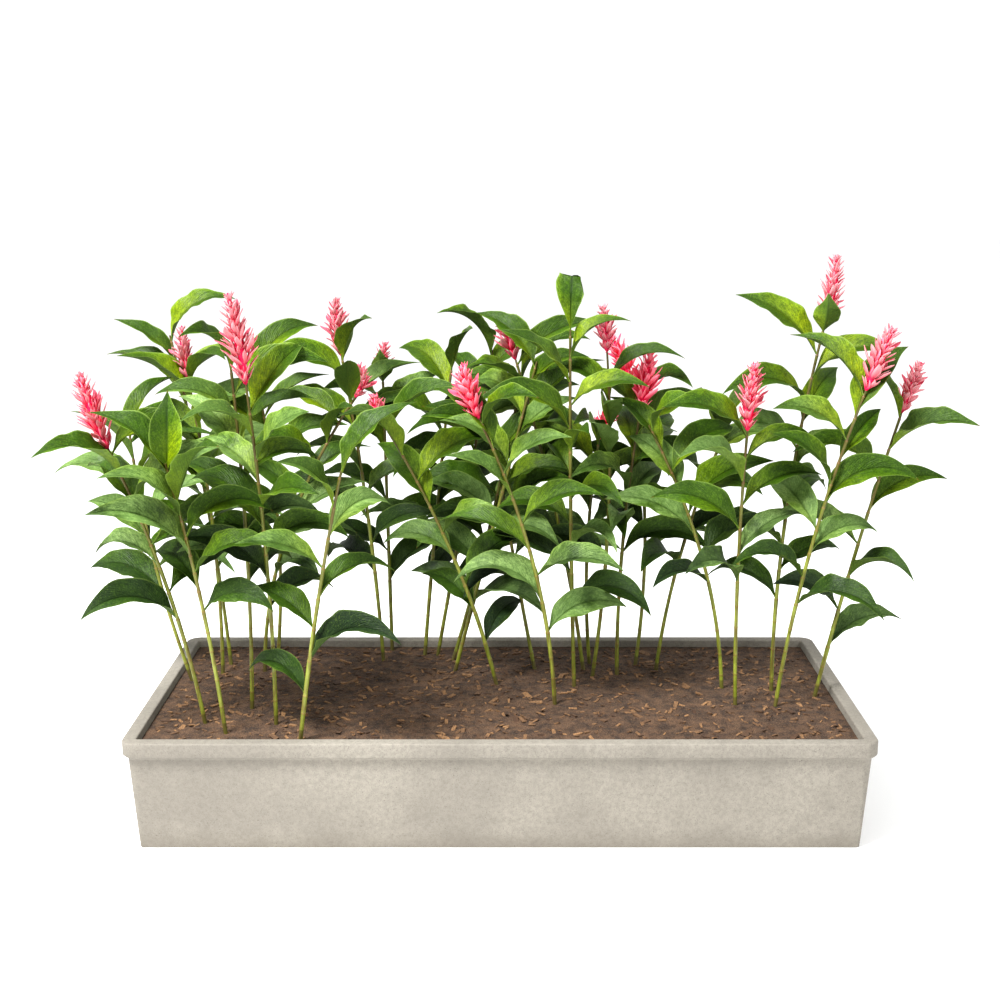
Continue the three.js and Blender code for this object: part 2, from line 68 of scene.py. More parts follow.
# Growth rules of the part
PLANTER = Sizes(
    half_length=1125, half_width=505, height=350, taper=25, corner_radius=45,
    least_radius=8, wall=30, floor=30, band_height=55, band_depth=12, edge_round=5,
)
DRAIN = Sizes(radius=14, spacing=680, row=230, per_row=3)
SOIL = Sizes(below_rim=22, crown=10, shoulder=120, gap=0.4)
SOIL_Z = PLANTER.height - SOIL.below_rim
CANE = Sizes(buried=90, straight=40)
LEAF = Sizes(
    length=290, least_size=0.86, size_arc=(0.2, 0.9), slenderness=0.3, root_power=0.8,
    tip_power=1.05, face_front=38, face_by=0.4, rise_start=(50, 66), rise_end=(-38, -6),
    arch=1.15, crowding=0.92, top_gap=22, steps=12,
)
SWAYS = dict(length=42, azimuth=52, drift=22, rise_start=13, rise_end=26, roll=34, width=0.08)
YOUNG = {
    "spear": dict(azimuth=90, rise_start=84, rise_end=66, size=0.8, slenderness=0.3),
    "guard": dict(azimuth=-90, rise_start=30, rise_end=100, size=0.52, slenderness=0.42),
}
BLUNT_LEAF_CANE = 20
TURN_STEPS = (0, 13, -13, 26, -26, 40, -40, 56, -56, 75, -75)
SIZE_STEPS = (1, 0.86, 0.72, 0.58)
TIP_NEAR = 0.05
HEAD = Sizes(
    gap=0.3, sides=6, ring_pitch=20, top_ring=0.88, turn=0.75,
    core=((0, 0.13), (0.12, 0.22), (0.35, 0.27), (0.65, 0.2), (1, 0.02)),
    slant=(46, 22), reach=(0.5, 0.22), widest_at=0.3, sway=0.2,
)
DRAW = Sizes(cane=12.9898, item=78.233, purpose=37.719, spread=43758.5453)

# The number of each kind of draw, the sways of a leaf first
PURPOSE = {name: number for number, name in enumerate(SWAYS, 1)}
PURPOSE.update(
    bract_sway=11, wave_start=21, wave_pitch=22, fold=23, wave_depth=24, first_joint=31,
    next_joint=32, belly=41, sideways=42, curl=43, turn=44, inner_reach=45, inner_rise=46, tip=47,
    twist=48, snake=49, plump=50, stem_luck=51, leaf_luck=52, bract_luck=53, inner_luck=54,
)

# How pale each flower head is, by the number of its cane; the least pale heads are also painted redder,
# as painted light through their bracts in shade
PALENESS = {
    2: 0.5, 3: 0.7, 7: 0.4, 8: 0.8, 11: 0.8, 12: 0.6, 17: 0.3, 19: 0.25, 21: 0.5, 22: 0.2, 23: 0.35,
    24: 0.15, 25: 0.2, 28: 0.35, 29: 0.65, 30: 0.5, 31: 0.7,
}

# A row for each cane: bare is the height of its lowest leaf, head is a length, width and nod
ROW_NAMES = (
    "x", "y", "height", "lean_x", "lean_y", "bow", "bare", "leaves", "side", "turn", "young", "head",
)
ROWS = [
    (-1035, 110, 840, -170, 25, -25, 300, 8, -1, 12, None, None),
    (-910, -295, 885, -230, -75, 30, 350, 8, -1, 8, None, (260, 105, 30)),
    (-940, 155, 1010, -80, 40, 25, 370, 9, 1, -15, None, (185, 85, 20)),
    (-835, -365, 855, -120, -90, 15, 400, 9, 1, -10, "spear", None),
    (-930, 255, 1135, -170, 65, 20, 400, 10, -1, 15, None, None),
    (-785, -180, 1105, -15, -45, 15, 430, 10, 1, 20, None, None),
    (-800, 175, 945, 325, 45, -80, 340, 9, 1, -12, None, (130, 85, -70)),
    (-690, -305, 1075, -40, -75, 15, 390, 10, 1, 0, None, (280, 114, -15)),
    (-775, 290, 1005, -55, 75, 40, 420, 9, 1, 25, None, None),
    (-600, -420, 850, 155, -110, -10, 150, 8, -1, 5, None, None),
    (-405, 290, 1065, -130, 75, 15, 320, 10, -1, -20, None, (200, 100, 20)),
    (-385, 425, 970, -25, 105, 0, 250, 9, 1, 15, "guard", (125, 75, 15)),
    (-265, 360, 1020, 100, 90, -5, 260, 10, -1, -12, None, None),
    (-220, 360, 1070, 195, 90, 0, 270, 10, 1, 20, None, None),
    (-165, 295, 995, 240, 75, 15, 240, 10, -1, 10, None, None),
    (-155, 175, 1065, 275, 10, 0, 260, 10, 1, -18, None, None),
    (-10, 45, 880, -360, 10, 40, 150, 9, 1, 8, None, (112, 78, 25)),
    (120, 195, 795, -140, 90, -5, 300, 7, -1, 22, None, None),
    (175, -135, 940, -240, -35, 50, 250, 9, 1, 0, None, (185, 102, 30)),
    (245, 20, 1185, -25, 5, -5, 300, 12, 1, -15, "spear", None),
    (285, 190, 1065, -235, 75, 25, 380, 9, 1, 12, None, (155, 95, -5)),
    (310, 250, 800, 20, -15, -25, 380, 6, -1, -20, None, (140, 80, 40)),
    (310, 125, 1105, 35, 30, 30, 390, 9, -1, 15, None, (150, 88, -5)),
    (395, 140, 905, 65, 35, -20, 430, 8, 1, 5, None, (210, 112, -5)),
    (465, 240, 960, -20, 115, 40, 380, 8, 1, -10, None, (200, 100, -60)),
    (530, 180, 885, 240, 45, -35, 380, 8, -1, 15, None, None),
    (730, 10, 885, -260, 0, 55, 370, 8, -1, -8, None, None),
    (750, -145, 905, 0, -35, -10, 420, 7, -1, 5, None, (215, 102, 5)),
    (890, -10, 1205, 115, -5, -35, 320, 12, -1, 10, "guard", (235, 100, -20)),
    (875, -155, 1030, 225, -40, -30, 350, 10, 1, -8, None, (210, 112, 5)),
    (1025, -45, 940, 225, -10, -10, 170, 8, 1, 0, None, (172, 88, 5)),
]


def draw(cane, item, purpose):
    """The part's fixed draw from 0 to 1."""
    seed = cane * DRAW.cane + item * DRAW.item + PURPOSE[purpose] * DRAW.purpose
    value = math.sin(seed) * DRAW.spread
    return value - math.floor(value)


def mix(start, end, share):
    return start + (end - start) * share


def smooth(low, high, value):
    share = np.clip((value - low) / (high - low), 0, 1)
    return share * share * (3 - 2 * share)


def unit(vectors):
    return vectors / np.linalg.norm(vectors, axis=-1, keepdims=True)


def turned(one, other, angle):
    return one * np.cos(angle) + other * np.sin(angle), other * np.cos(angle) - one * np.sin(angle)


def moved(points, direction, distance):
    return points + direction[:, None] * distance[..., None]


def cane_points(row, shares):
    """Points of a cane's middle line and its directions there."""
    swing = 4 * row.bow * shares * (1 - shares)
    points = np.stack([
        row.x + row.lean_x * shares + swing,
        row.y + row.lean_y * shares,
        SOIL_Z + row.height * shares,
    ], axis=-1)
    slope = row.lean_x + 4 * row.bow * (1 - 2 * shares)
    full = np.broadcast_arrays(slope, row.lean_y, row.height)
    return points, unit(np.stack(full, axis=-1).astype(float))


def round_about(directions, angles):
    first = unit(np.cross([0.0, 1.0, 0.0], directions))
    return turned(first, np.cross(directions, first), angles[..., None])[0]


def blade_shape(shares):
    """Half width of a blade as a share of its widest half."""
    widest = LEAF.root_power / (LEAF.root_power + LEAF.tip_power)
    rise = (shares / widest) ** LEAF.root_power
    return rise * ((1 - shares) / (1 - widest)) ** LEAF.tip_power


def leaf_directions(shape, shares):
    heading = np.radians(shape["azimuth"] + shape["drift"] * shares)
    rise = np.radians(mix(shape["rise_start"], shape["rise_end"], shares ** LEAF.arch))
    return np.stack([
        np.cos(rise) * np.cos(heading), np.cos(rise) * np.sin(heading), np.sin(rise),
    ], axis=-1)


def leaf_frames(shape, shares):
    """Places on a leaf's middle line, with the directions across the blade and out of its face."""
    middles = (np.arange(LEAF.steps) + 0.5) / LEAF.steps
    steps = leaf_directions(shape, shares[:, None] * middles)
    place = shape["root"] + steps.sum(axis=1) * (shape["length"] * shares / LEAF.steps)[:, None]
    heading = np.radians(shape["azimuth"] + shape["drift"] * shares)
    side = np.stack([-np.sin(heading), np.cos(heading), np.zeros_like(heading)], axis=-1)
    normal = np.cross(leaf_directions(shape, shares), side)
    facing = LEAF.face_front * np.cos(heading) * np.minimum(1, shares / LEAF.face_by)
    roll = np.radians(facing + shape["roll"] * shares)[:, None]
    return place, *turned(side, normal, roll)


def free_leaf(row, cane, index):
    """The shape that a leaf would have in open space, as in the part."""
    level = index / (row.leaves - 1)
    top_share = 1 - LEAF.top_gap / row.height
    share = mix(row.bare / row.height, top_share, level ** LEAF.crowding)
    on_right = (index % 2 == 0) == (row.side > 0)
    sway = {name: (draw(cane, index, name) - 0.5) * 2 * most for name, most in SWAYS.items()}
    size = mix(LEAF.least_size, 1, math.sin(math.pi * mix(*LEAF.size_arc, level)))
    length = LEAF.length * size + sway["length"]
    shape = dict(
        sway,
        root=cane_points(row, np.array(share))[0],
        share=share,
        level=level,
        azimuth=(0 if on_right else 180) + row.turn + sway["azimuth"],
        rise_start=mix(*LEAF.rise_start, level) + sway["rise_start"],
        rise_end=mix(*LEAF.rise_end, level) + sway["rise_end"],
        length=length,
        width=length * LEAF.slenderness * (1 + sway["width"]),
        young=False,
        blunt=False,
    )
    if row.young and index == row.leaves - 1:
        young = YOUNG[row.young]
        shape.update({name: young[name] for name in ("azimuth", "rise_start", "rise_end")})
        shape["length"] = LEAF.length * young["size"]
        shape["width"] = shape["length"] * young["slenderness"]
        shape["young"] = True
        shape["blunt"] = cane == BLUNT_LEAF_CANE
    return shape


def grown_leaf(free, corners):
    """A leaf with the turn and size that the part gave it, known by the corner at its tip, or None."""
    for size in SIZE_STEPS:
        for turn in TURN_STEPS:
            shape = dict(free, azimuth=free["azimuth"] + turn, length=free["length"] * size)
            shape["width"] = free["width"] * math.sqrt(size)
            tip = leaf_frames(shape, np.array([1.0]))[0][0]
            if np.abs(corners - tip).max(axis=1).min() < TIP_NEAR:
                return shape
    return None


def head_points(row, shares):
    """Points of a flower head's middle line and its directions there."""
    top, up = cane_points(row, np.array(1.0))
    length, _, nod = row.head
    shares = np.asarray(shares, float)
    points = top + up * (HEAD.gap + length * shares)[..., None]
    points[..., 0] += nod * shares ** 2
    directions = np.broadcast_to(up * length, points.shape).copy()
    directions[..., 0] += 2 * nod * shares
    return points, unit(directions)


def core_radius(row, shares):
    at, size = zip(*HEAD.core)
    return row.head[1] / 2 * np.interp(shares, at, size)


def bract_reach(level):
    if level < HEAD.widest_at:
        return mix(HEAD.reach[0], 1, math.sin(level / HEAD.widest_at * math.pi / 2))
    return mix(HEAD.reach[1], 1, (1 - level) / (1 - HEAD.widest_at))


def placed(name, data):
    made = bpy.data.objects.new(name, data)
    scene.collection.objects.link(made)
    return made


class Body:
    """Collects closed lofts and makes one mesh of them.

    Each point has two sets of three values for its material: its mark says where it lies on its
    leaf, stem or bract, and its life says which leaf, stem or bract that is.
    """

    def __init__(self):
        self.points = []
        self.marks = []
        self.lives = []
        self.faces = []
        self.slots = []
        self.count = 0

    def add(self, points, faces, marks, lives, slot=0):
        faces = [[corner + self.count for corner in face] for face in faces]
        self.points.append(points)
        self.marks.append(np.broadcast_to(marks, points.shape))
        self.lives.append(np.broadcast_to(lives, points.shape))
        self.faces += faces
        self.slots += [slot] * len(faces)
        self.count += len(points)

    def loft(self, rings, marks, lives, slot=0):
        count, sides = rings.shape[:2]
        start = np.arange(count - 1)[:, None] * sides
        here = np.arange(sides)
        after = (here + 1) % sides
        quads = np.stack([start + here, start + after, start + sides + after, start + sides + here], -1)
        faces = quads.reshape(-1, 4).tolist()
        faces.append(list(range(sides))[::-1])
        faces.append(list(range((count - 1) * sides, count * sides)))
        spread = np.broadcast_to(marks, rings.shape).reshape(-1, 3)
        self.add(rings.reshape(-1, 3), faces, spread, lives, slot)

    def piece(self, name, materials, sharp=50):
        mesh = bpy.data.meshes.new(name)
        points = np.concatenate(self.points) * MM
        mesh.from_pydata(points.tolist(), [], self.faces)
        for material in materials:
            mesh.materials.append(material)
        mesh.polygons.foreach_set("material_index", self.slots)
        for label, values in (("mark", self.marks), ("life", self.lives)):
            layer = mesh.attributes.new(label, "FLOAT_VECTOR", "POINT")
            layer.data.foreach_set("vector", np.concatenate(values).astype(np.float32).ravel())
        mesh.shade_smooth()
        mesh.set_sharp_from_angle(angle=math.radians(sharp))
        mesh.update()
        return placed(name, mesh)


def linear(red, green, blue):
    """A colour as seen on screen, 0 to 255, as the shader's own linear colour."""
    channels = [value / 255 for value in (red, green, blue)]
    return (*[c / 12.92 if c <= 0.04045 else ((c + 0.055) / 1.055) ** 2.4 for c in channels], 1.0)


def tints(**colours):
    return Sizes(**{name: linear(*levels) for name, levels in colours.items()})


class Value:
    """The output of a node, with plain ways to reckon with it."""

    def __init__(self, paint, socket):
        self.paint = paint
        self.socket = socket

    def __add__(self, other):
        return self.paint.calc("ADD", self, other)

    def __sub__(self, other):
        return self.paint.calc("SUBTRACT", self, other)

    def __rsub__(self, other):
        return self.paint.calc("SUBTRACT", other, self)

    def __mul__(self, other):
        return self.paint.calc("MULTIPLY", self, other)

    def span(self, low, high, to_low=0.0, to_high=1.0):
        """Moves smoothly from one value to another while this one goes from low to high."""
        made = self.paint.node("MapRange", {
            "Value": self, "From Min": low, "From Max": high, "To Min": to_low, "To Max": to_high,
        }, interpolation_type="SMOOTHSTEP")
        return Value(self.paint, made.outputs[0])

    def ripple(self):
        """A wave between 0 and 1."""
        return self.paint.calc("SINE", self) * 0.5 + 0.5

    def another(self, factor):
        """Another luck from 0 to 1, made from this one."""
        return self.paint.calc("FRACT", self * factor)


class Paint:
    """A material and short ways to add and join its nodes."""

    def __init__(self, name, **shader):
        self.material = bpy.data.materials.new(name)
        self.material.use_nodes = True
        self.tree = self.material.node_tree
        self.shader = self.tree.nodes["Principled BSDF"]
        self.output = self.tree.nodes["Material Output"]
        self.set(**shader)

    def node(self, kind, inputs=(), **settings):
        made = self.tree.nodes.new("ShaderNode" + kind)
        for name, value in settings.items():
            setattr(made, name, value)
        for name, value in dict(inputs).items():
            self.join(value, made.inputs[name])
        return made

    def join(self, value, socket):
        if isinstance(value, Value):
            value = value.socket
        if isinstance(value, bpy.types.NodeSocket):
            self.tree.links.new(value, socket)
        else:
            socket.default_value = value

    def set(self, **sockets):
        for label, value in sockets.items():
            self.join(value, self.shader.inputs[label.replace("_", " ")])

    def parts(self, vector):
        split = self.node("SeparateXYZ", {0: vector})
        return [Value(self, part) for part in split.outputs]

    def axes(self, label):
        """The three values that a mesh carries under a label."""
        return self.parts(self.node("Attribute", attribute_name=label).outputs["Vector"])

    def place(self):
        return self.node("TexCoord").outputs["Object"]

    def stretched(self, *scale):
        return self.node("Mapping", {"Vector": self.place(), "Scale": scale}).outputs[0]

    def calc(self, operation, *values):
        made = self.node("Math", dict(enumerate(values)), operation=operation)
        return Value(self, made.outputs[0])

    def noise(self, scale, detail=3.0, vector=None, rough=0.55):
        inputs = {
            "Vector": vector if vector is not None else self.place(), "Scale": scale,
            "Detail": detail, "Roughness": rough,
        }
        return Value(self, self.node("TexNoise", inputs).outputs["Fac"])

    def cells(self, scale):
        """Distance to the middle of the nearest of many cells."""
        made = self.node("TexVoronoi", {"Vector": self.place(), "Scale": scale})
        return Value(self, made.outputs["Distance"])

    def blend(self, share, one, other, kind="MIX"):
        # A Mix node's colours are its inputs 6 and 7 and its output 2
        made = self.node("Mix", data_type="RGBA", blend_type=kind)
        self.join(share, made.inputs["Factor"])
        self.join(one, made.inputs[6])
        self.join(other, made.inputs[7])
        return made.outputs[2]

    def layered(self, colour, *layers):
        """A colour with others laid over it in turn, each by its own share."""
        for share, other in layers:
            colour = self.blend(share, colour, other)
        return colour

    def bump(self, height, depth, strength):
        inputs = {"Height": height, "Distance": depth, "Strength": strength}
        return self.node("Bump", inputs).outputs[0]

    def let_light_through(self, share, colour, normal):
        """Adds a share of light that shines through a thin blade."""
        through = self.node("BsdfTranslucent", {"Color": colour, "Normal": normal})
        both = self.node("MixShader", {
            0: share, 1: self.shader.outputs[0], 2: through.outputs[0],
        })
        self.tree.links.new(both.outputs[0], self.output.inputs["Surface"])


def leaf_material():
    """Glossy green blades: bright yellow-green at the top of a cane, dark blue-green at its foot,
    partly older leaves and partly painted shade under the canopy.
    """
    paint = Paint("leaf", Specular_IOR_Level=0.25)
    tint = tints(
        foot=(40, 60, 33), middle=(69, 100, 12), top=(60, 91, 0), light=(150, 178, 110),
        lime=(144, 162, 0), lit_edge=(126, 156, 10), shade=(150, 166, 140), speck=(118, 146, 60),
        low_rib=(62, 84, 22), high_rib=(126, 144, 20), rim=(132, 156, 74), dry=(104, 78, 30),
        underside=(104, 126, 60), through=(120, 150, 0),
    )
    brighter = (1.9, 1.75, 1.9, 1.0)
    vein_slope = 0.3
    vein_pitch = 170.0
    streak_across = 1.6
    streak_along = 15.0
    across, along, under = paint.axes("mark")
    level, luck, young = paint.axes("life")
    width = paint.calc("ABSOLUTE", across)
    clouds = paint.noise(9.0)
    fine = paint.noise(70.0, 2.0)
    specks = paint.noise(230.0, 1.0)

    # Green by height on the cane, darker low down from older leaves and from painted shade under the
    # canopy, and painted sheen that makes some leaves paler
    age = level + (luck - 0.5) * 0.5 + (clouds - 0.5) * 0.5
    # Painted sheen: some leaves made pale grey-green, most of all the low ones
    light = luck.another(7.3).span(0.5, 0.85) * clouds.span(0.25, 0.6)
    light = light * level.span(0.9, 0.55, 0.05, 0.8)

    # Lime colour from the root on; painted light makes it strongest on one half of the blade, the lit
    # half
    glow_reach = along - clouds * 0.5 - luck.another(5.1).span(0.3, 0.9) * 0.24 - young * 0.15
    lit_side = across * paint.calc("SIGN", luck.another(3.7) - 0.5)
    glow = glow_reach.span(0.35, -0.3) * level.span(0.1, 1)
    glow = glow * lit_side.span(-0.5, 0.3, 0.2, 0.9) * young.span(0, 1, 1, 0.75)
    green = paint.layered(
        tint.foot,
        (age.span(-0.1, 0.5), tint.middle),
        (age.span(0.45, 1.1), tint.top),
        (light, tint.light),
        (glow, tint.lime),
        # Painted light along the edge of the lit half
        (lit_side.span(0.5, 1) * level.span(0.2, 1, 0.1, 0.4), tint.lit_edge),
    )

    # Veins that slope to the tip, quilting and streaks along them that darken where the relief is low,
    # painted shade on the half away from the lit side, and small spots
    slope = along - width * vein_slope
    place = paint.node("CombineXYZ", {
        "X": across * streak_across, "Y": slope * streak_along, "Z": luck * 40.0,
    }).outputs[0]
    quilt = paint.noise(1.5, 2.0, place, 0.5)
    streaks = paint.noise(4.2, 3.0, place, 0.6)
    veins = (slope * vein_pitch).ripple()
    # A darker copy of the green: painted shade on one half and in the crease, and dark mottle
    shaded = paint.blend(1.0, green, tint.shade, "MULTIPLY")
    green = paint.layered(
        green,
        (veins * 0.12, shaded),
        (quilt.span(0.62, 0.3, 0, 0.45), shaded),
        # Painted shade on the half away from the lit side
        (lit_side.span(0.08, -0.08, 0, 0.45), shaded),
    )
    lighter = paint.blend(1.0, green, brighter, "MULTIPLY")
    green = paint.layered(
        green,
        (streaks.span(0.56, 0.3, 0, 0.75), shaded),
        (streaks.span(0.5, 0.76, 0, 0.55), lighter),
        (fine.span(0.5, 0.8, 0, 0.45), lighter),
        (fine.span(0.5, 0.25, 0, 0.5), shaded),
        (specks.span(0.55, 0.3, 0, 0.6), shaded),
        (specks.span(0.5, 0.85, 0, 0.25), tint.speck),
    )

    # Midrib with painted shade in the crease beside it, a pale rim of painted highlight along the edge,
    # and a dry tip on some leaves
    rib_width = along.span(0, 1, 0.07, 0.02)
    rib = 1.0 - paint.calc("DIVIDE", width, rib_width).span(0.35, 1)
    crease = 1.0 - width.span(0.03, 0.16)
    green = paint.layered(
        green,
        (rib * 0.3, paint.blend(level.span(0.3, 1), tint.low_rib, tint.high_rib)),
        (crease * young.span(0, 1, 0.5, 1), shaded),
        (width.span(0.89, 1) * level.span(0.1, 0.9, 0.3, 0.6), tint.rim),
        (along.span(0.955, 1) * luck.span(0.45, 0.8) * 0.8, tint.dry),
    )
    colour = paint.blend(under * 0.7, green, paint.blend(0.4, green, tint.underside))
    relief = veins * 0.16 + quilt + fine * 0.4 + streaks * 0.7 - rib * 0.6
    normal = paint.bump(relief, depth=0.0035, strength=0.6)
    roughness = clouds.span(0.3, 0.7, 0.4, 0.56) + under * 0.3
    paint.set(Base_Color=colour, Roughness=roughness, Normal=normal)
    paint.let_light_through(0.16, paint.blend(0.5, colour, tint.through), normal)
    return paint.material


def stem_material():
    """Lime to olive stems with tan joints, turning brown-olive near the top."""
    paint = Paint("stem")
    tint = tints(
        green=(106, 114, 28), pale=(138, 148, 54), olive=(98, 98, 30), top=(60, 47, 18),
        sheath=(96, 106, 22), streak=(88, 66, 28), joint=(120, 84, 50), soil=(70, 52, 36),
    )
    joint, along, sheath = paint.axes("mark")
    _, luck, _ = paint.axes("life")
    grain = paint.noise(1.6, 3.0, paint.stretched(90.0, 90.0, 6.0))
    colour = paint.layered(
        tint.green,
        (paint.noise(14.0).span(0.35, 0.65), tint.pale),
        (luck * 0.35, tint.olive),
        (along.span(0.3, 0.95, 0, 0.85), tint.top),
        (sheath.span(0.5, 1, 0, 0.4), tint.sheath),
        (grain.span(0.42, 0.68, 0, 0.65), tint.streak),
        (joint * 0.45, tint.joint),
        (along.span(0.045, 0, 0, 0.6), tint.soil),
    )
    paint.set(
        Base_Color=colour,
        Roughness=grain.span(0.3, 0.7, 0.38, 0.6),
        Normal=paint.bump(grain + joint * 0.6, depth=0.0007, strength=0.6),
    )
    return paint.material


def bract_material():
    """Waxy bracts: crimson where they leave the core, pink in the middle and pale at the tip, with
    painted light that makes the least pale heads redder.
    """
    paint = Paint("bract", Specular_IOR_Level=0.3)
    tint = tints(
        root=(214, 12, 88), middle=(222, 120, 132), tip=(228, 178, 182), soft=(222, 126, 138),
        margin=(238, 194, 194), inside=(222, 34, 98), stripe=(210, 56, 96), through=(246, 78, 122),
    )
    redder = (1.36, 0.98, 1.2, 1.0)
    stripe_pitch = 19.0
    across, along, inside = paint.axes("mark")
    level, luck, paleness = paint.axes("life")
    cloud = paint.noise(45.0)
    stripes = (across * stripe_pitch).ripple()
    reach = along + (cloud - 0.5) * 0.3 + paleness * 0.34 + level * 0.2
    margin = paint.calc("ABSOLUTE", across).span(0.3, 1) * 0.7 * reach.span(0.3, 0.9)
    pink = paint.layered(
        tint.root,
        (reach.span(0.24, 0.66), tint.middle),
        (reach.span(0.58, 1.15), tint.tip),
        (luck.span(0, 1, 0, 0.3), tint.soft),
        (margin, tint.margin),
        (inside * 0.6, tint.inside),
        (stripes * 0.12, tint.stripe),
    )
    # Painted light: the least pale heads and bracts, those in shade, are made redder and brighter as if
    # lit through their bracts
    deep = paint.blend(1.0, pink, redder, "MULTIPLY")
    pink = paint.blend(paleness.span(0.34, 0.18), pink, deep)
    normal = paint.bump(stripes + cloud, depth=0.0005, strength=0.5)
    paint.set(Base_Color=pink, Normal=normal, Roughness=cloud.span(0.3, 0.7, 0.48, 0.66))
    paint.let_light_through(0.42, paint.blend(0.2, pink, tint.through), normal)
    return paint.material


def soil_material():
    """Dark damp potting mix with paler dry crumbs."""
    paint = Paint("soil", Roughness=0.95)
    tint = tints(damp=(44, 32, 24), drier=(88, 66, 48), crumb=(122, 96, 72))
    lumps = paint.noise(28.0, 6.0, rough=0.65)
    crumbs = paint.cells(160.0)
    colour = paint.layered(
        tint.damp,
        (lumps.span(0.3, 0.7), tint.drier),
        (crumbs.span(0.1, 0.5, 0.35, 0), tint.crumb),
    )
    paint.set(Base_Color=colour, Normal=paint.bump(lumps + crumbs * -0.6, depth=0.006, strength=0.9))
    return paint.material


def chip_material():
    """Shredded bark that lies on the soil."""
    paint = Paint("bark_chip", Roughness=0.88)
    tint = tints(dark=(64, 44, 30), light=(140, 106, 72), grain=(50, 36, 26))
    _, luck, _ = paint.axes("life")
    grain = paint.noise(1.0, 4.0, paint.stretched(260.0, 60.0, 260.0))
    colour = paint.layered(
        tint.dark,
        (luck, tint.light),
        (grain.span(0.4, 0.7, 0, 0.6), tint.grain),
    )
    paint.set(Base_Color=colour, Normal=paint.bump(grain, depth=0.001, strength=0.8))
    return paint.material


def planter_material():
    """Cast fibre cement: mottled warm grey with fine pores and a faint damp tide line."""
    paint = Paint("fibre_cement")
    tint = tints(
        dark=(120, 115, 106), pale=(138, 133, 123), grain=(98, 93, 86), sand=(84, 79, 72),
        tide=(98, 92, 82), pore=(66, 62, 57),
    )
    _, _, height = paint.parts(paint.place())
    wide = paint.noise(3.2, 5.0, rough=0.6)
    grain = paint.noise(75.0, 5.0, rough=0.7)
    sand = paint.noise(330.0, 2.0)
    pore = paint.cells(95.0).span(0.07, 0.16, 1, 0) * paint.noise(24.0, 2.0).span(0.52, 0.62)
    colour = paint.layered(
        tint.dark,
        (wide.span(0.3, 0.7), tint.pale),
        (grain.span(0.35, 0.7, 0, 0.4), tint.grain),
        (sand.span(0.5, 0.75, 0, 0.5), tint.sand),
        ((height + wide * 0.12).span(0.13, 0.05, 0, 0.4), tint.tide),
        (pore * 0.7, tint.pore),
    )
    paint.set(
        Base_Color=colour,
        Roughness=wide.span(0.3, 0.7, 0.78, 0.92),
        Normal=paint.bump(grain * 0.5 - pore - sand * 0.3, depth=0.0016, strength=0.7),
    )
    return paint.material


# Fine blades: sizes in millimetres, angles in degrees, and the rest in shares of a blade
BLADE = Sizes(
    stations=34, closer_at_root=1.1, drawn_out=1.09, fullness=1.22, young_width=1.24,
    slimmer_tip=0.35, slimmer_from=(0.6, 0.95), root_flare=(-0.08, 0.3),
    petiole_half=3.4, tip_half=0.5, fold=(24, 42), flatter_tip=0.35, flatter_from=0.6,
    fold_curve=1.05, skin=(0.45, 0.25), stout_skin=1.1, stout_until=0.22,
)
BLADE_COLUMNS = (1, 0.84, 0.52, 0.12, 0, -0.12, -0.52, -0.84, -1)
RIB = Sizes(half=2.6, depth=(1.5, 0.2), groove=0.25)
WAVE = Sizes(
    pitch=(1.8, 3.6), depth=(0.05, 0.12), lag=1.1,
    second_depth=0.45, second_pitch=2.1, second_start=2.7, second_lag=2.0,
)

# The torn end of one young leaf: how far it is cut back across its width
BLUNT = Sizes(width=1.45, end=0.86, widest_at=0.8, narrower_end=0.2, cut_from=0.4)
BLUNT_EDGE = (
    (-1, -0.2), (-0.84, -0.07), (-0.58, -0.045), (-0.32, -0.01), (-0.1, -0.03), (0.1, -0.045),
    (0.58, -0.035), (1, 0),
)


def closed_blade(front, back, columns, shares):
    """Closed rings round a thin blade, from its two faces, and their marks."""
    rings = np.concatenate([front, back[:, ::-1]], axis=1)
    span = np.append(columns, columns[::-1])
    face = np.repeat([0.0, 1.0], len(columns))
    marks = np.stack(np.broadcast_arrays(span, shares[:, None], face), axis=-1)
    return rings, marks


def blade_half(shape, shares):
    if shape["blunt"]:
        narrower = 1 - BLUNT.narrower_end * smooth(BLUNT.widest_at, 1, shares)
        outline = smooth(0, BLUNT.widest_at, shares) * narrower * BLUNT.width
    else:
        slimmer = 1 - BLADE.slimmer_tip * smooth(*BLADE.slimmer_from, shares)
        outline = BLADE.fullness * blade_shape(shares) * slimmer
        outline = outline * (BLADE.young_width if shape["young"] else 1)
    half = shape["width"] / 2 * outline * smooth(*BLADE.root_flare, shares)
    least = mix(BLADE.petiole_half, BLADE.tip_half, smooth(0, 1, shares))
    return np.maximum(half, least)[:, None]


def edge_waves(cane, index, half, shares, columns):
    """How far the waves of a blade's edges lift each of its points."""
    start = draw(cane, index, "wave_start") * FULL_TURN
    pitch = mix(*WAVE.pitch, draw(cane, index, "wave_pitch"))
    turn = FULL_TURN * pitch * shares[:, None]
    side = np.sign(columns)
    second = WAVE.second_pitch * turn + WAVE.second_start * start - WAVE.second_lag * side
    swing = np.sin(start + turn + WAVE.lag * side) + WAVE.second_depth * np.sin(second)
    depth = mix(*WAVE.depth, draw(cane, index, "wave_depth"))
    return depth * half * swing * np.abs(columns) ** 2


